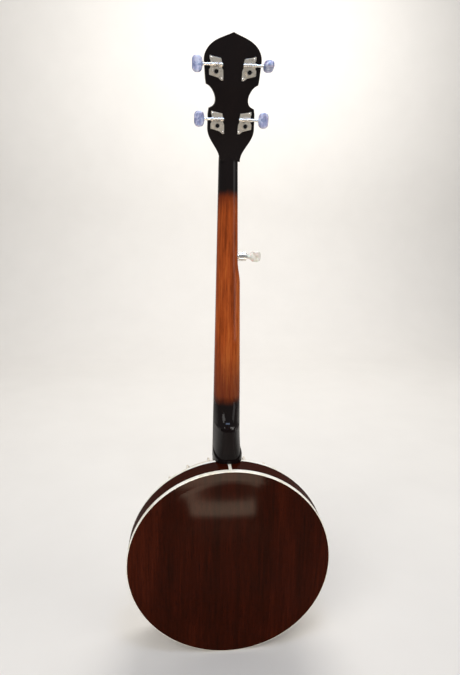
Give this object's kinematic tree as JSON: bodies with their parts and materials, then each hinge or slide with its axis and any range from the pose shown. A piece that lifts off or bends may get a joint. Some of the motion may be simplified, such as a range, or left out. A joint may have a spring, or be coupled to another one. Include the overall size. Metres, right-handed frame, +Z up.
{
  "type": "banjo",
  "caption": "Resonator banjo with a closed wooden back, bracket-hook pot, geared tuners, a geared short-string peg and a hinged tailpiece lid.",
  "frame": {"origin": "where a hanger's yoke carries the flared foot of the peghead, on the neck's centre line, in the glue plane between neck and fingerboard", "axes": "+Z up the neck to the peghead, +X to the right seen from the front, the strings and head face -Y and the resonator faces +Y"},
  "size_m": [0.336, 0.1105, 0.9721],
  "materials": {
    "mahogany": "gloss sunburst lacquer, black at both ends",
    "rosewood": "oiled",
    "resonator_mahogany": "high gloss lacquer",
    "maple": "satin lacquer",
    "black_lacquer": "gloss",
    "black_plastic": "gloss",
    "nickel_plate": "polished plate",
    "satin_nickel": "satin, warm",
    "nickel_silver": "polished",
    "steel": "turned",
    "string_steel": "drawn wire",
    "black_oxide": "matte",
    "bell_brass": "turned",
    "pearl": "pearly",
    "bone": "polished",
    "pearloid_blue": "pearly gloss",
    "pearloid_cream": "pearly gloss",
    "head_film": "frosted",
    "white_binding": "gloss"
  },
  "bodies": {
    "instrument": {"neck": "mahogany", "truss_rod": "steel", "fingerboard": "rosewood", "frets": "nickel_silver", "position_dots": "pearl", "string_nuts": "bone", "peghead_overlay": "black_lacquer", "truss_rod_cover": "black_plastic", "tuner_plates": "satin_nickel", "wood_screws": "nickel_plate", "post_bushings": "nickel_plate", "fifth_peg_barrel": "nickel_plate", "fifth_peg_cap": "nickel_plate", "rim": "maple", "tone_ring": "bell_brass", "head": "head_film", "tension_hoop": "nickel_plate", "hooks": "nickel_plate", "hook_nuts": "nickel_plate", "flange": "nickel_plate", "coordinator_rods": "steel", "pot_bolts": "steel", "armrest": "nickel_plate", "resonator_side": "resonator_mahogany", "resonator_back": "resonator_mahogany", "resonator_bindings": "white_binding", "resonator_lugs": "nickel_plate", "thumb_screws": "nickel_plate", "bridge": "maple", "tailpiece_base": "nickel_plate", "tailpiece_pin": "nickel_plate", "tailpiece_bolt": "nickel_plate", "strings": "string_steel"},
    "tuner_key_1": {"worm_shaft_1": "nickel_plate", "tuner_button_1": "pearloid_blue"},
    "string_post_assembly_1": {"string_post_1": "nickel_plate", "cog_1": "satin_nickel", "cog_screw_1": "black_oxide"},
    "tuner_key_2": {"worm_shaft_2": "nickel_plate", "tuner_button_2": "pearloid_blue"},
    "string_post_assembly_2": {"string_post_2": "nickel_plate", "cog_2": "satin_nickel", "cog_screw_2": "black_oxide"},
    "tuner_key_3": {"worm_shaft_3": "nickel_plate", "tuner_button_3": "pearloid_blue"},
    "string_post_assembly_3": {"string_post_3": "nickel_plate", "cog_3": "satin_nickel", "cog_screw_3": "black_oxide"},
    "tuner_key_4": {"worm_shaft_4": "nickel_plate", "tuner_button_4": "pearloid_blue"},
    "string_post_assembly_4": {"string_post_4": "nickel_plate", "cog_4": "satin_nickel", "cog_screw_4": "black_oxide"},
    "fifth_key": {"fifth_peg_input": "steel", "fifth_peg_button": "pearloid_cream"},
    "fifth_spool": {"fifth_peg_spool": "nickel_plate"},
    "fifth_planet_1": {"fifth_peg_planet_1": "bell_brass"},
    "fifth_planet_2": {"fifth_peg_planet_2": "bell_brass"},
    "fifth_planet_3": {"fifth_peg_planet_3": "bell_brass"},
    "tailpiece_lid": {"tailpiece_cover": "nickel_plate"}
  },
  "joints": [
    {"name": "tuner_key_turn_1", "type": "hinge", "parent": "instrument", "child": "tuner_key_1", "pos_m": [0.0202, 0.03332, 0.02633], "axis": [1, 0, 0], "continuous": true},
    {"name": "string_post_turn_1", "type": "hinge", "parent": "instrument", "child": "string_post_assembly_1", "pos_m": [0.0202, 0.03112, 0.01811], "axis": [0, 0.9659, -0.2588], "continuous": true},
    {"name": "tuner_key_turn_2", "type": "hinge", "parent": "instrument", "child": "tuner_key_2", "pos_m": [0.0233, 0.0512, 0.09307], "axis": [1, 0, 0], "continuous": true},
    {"name": "string_post_turn_2", "type": "hinge", "parent": "instrument", "child": "string_post_assembly_2", "pos_m": [0.0233, 0.049, 0.08486], "axis": [0, 0.9659, -0.2588], "continuous": true},
    {"name": "tuner_key_turn_3", "type": "hinge", "parent": "instrument", "child": "tuner_key_3", "pos_m": [-0.0233, 0.0512, 0.09307], "axis": [-1, 0, 0], "continuous": true},
    {"name": "string_post_turn_3", "type": "hinge", "parent": "instrument", "child": "string_post_assembly_3", "pos_m": [-0.0233, 0.049, 0.08486], "axis": [0, 0.9659, -0.2588], "continuous": true},
    {"name": "tuner_key_turn_4", "type": "hinge", "parent": "instrument", "child": "tuner_key_4", "pos_m": [-0.0202, 0.03332, 0.02633], "axis": [-1, 0, 0], "continuous": true},
    {"name": "string_post_turn_4", "type": "hinge", "parent": "instrument", "child": "string_post_assembly_4", "pos_m": [-0.0202, 0.03112, 0.01811], "axis": [0, 0.9659, -0.2588], "continuous": true},
    {"name": "fifth_key_turn", "type": "hinge", "parent": "instrument", "child": "fifth_key", "pos_m": [-0.03, 0.002, -0.1705], "axis": [-1, 0, 0], "continuous": true},
    {"name": "fifth_spool_turn", "type": "hinge", "parent": "instrument", "child": "fifth_spool", "pos_m": [-0.02, 0.002, -0.1705], "axis": [-1, 0, 0], "continuous": true},
    {"name": "fifth_planet_turn_1", "type": "hinge", "parent": "fifth_spool", "child": "fifth_planet_1", "pos_m": [-0.0245, -0.00196, -0.1705], "axis": [-1, 0, 0], "continuous": true},
    {"name": "fifth_planet_turn_2", "type": "hinge", "parent": "fifth_spool", "child": "fifth_planet_2", "pos_m": [-0.0245, 0.00398, -0.16707], "axis": [-1, 0, 0], "continuous": true},
    {"name": "fifth_planet_turn_3", "type": "hinge", "parent": "fifth_spool", "child": "fifth_planet_3", "pos_m": [-0.0245, 0.00398, -0.17393], "axis": [-1, 0, 0], "continuous": true},
    {"name": "tailpiece_lid_hinge", "type": "hinge", "parent": "instrument", "child": "tailpiece_lid", "pos_m": [0, -0.013, -0.776], "axis": [-1, 0, 0], "range_deg": [0, 100]}
  ],
  "couplings": [
    {"joint": "string_post_turn_1", "follows": "tuner_key_turn_1", "ratio": 0.071429},
    {"joint": "string_post_turn_2", "follows": "tuner_key_turn_2", "ratio": 0.071429},
    {"joint": "string_post_turn_3", "follows": "tuner_key_turn_3", "ratio": 0.071429},
    {"joint": "string_post_turn_4", "follows": "tuner_key_turn_4", "ratio": 0.071429},
    {"joint": "fifth_spool_turn", "follows": "fifth_key_turn", "ratio": 0.25},
    {"joint": "fifth_planet_turn_1", "follows": "fifth_key_turn", "ratio": -0.75},
    {"joint": "fifth_planet_turn_2", "follows": "fifth_key_turn", "ratio": -0.75},
    {"joint": "fifth_planet_turn_3", "follows": "fifth_key_turn", "ratio": -0.75}
  ]
}
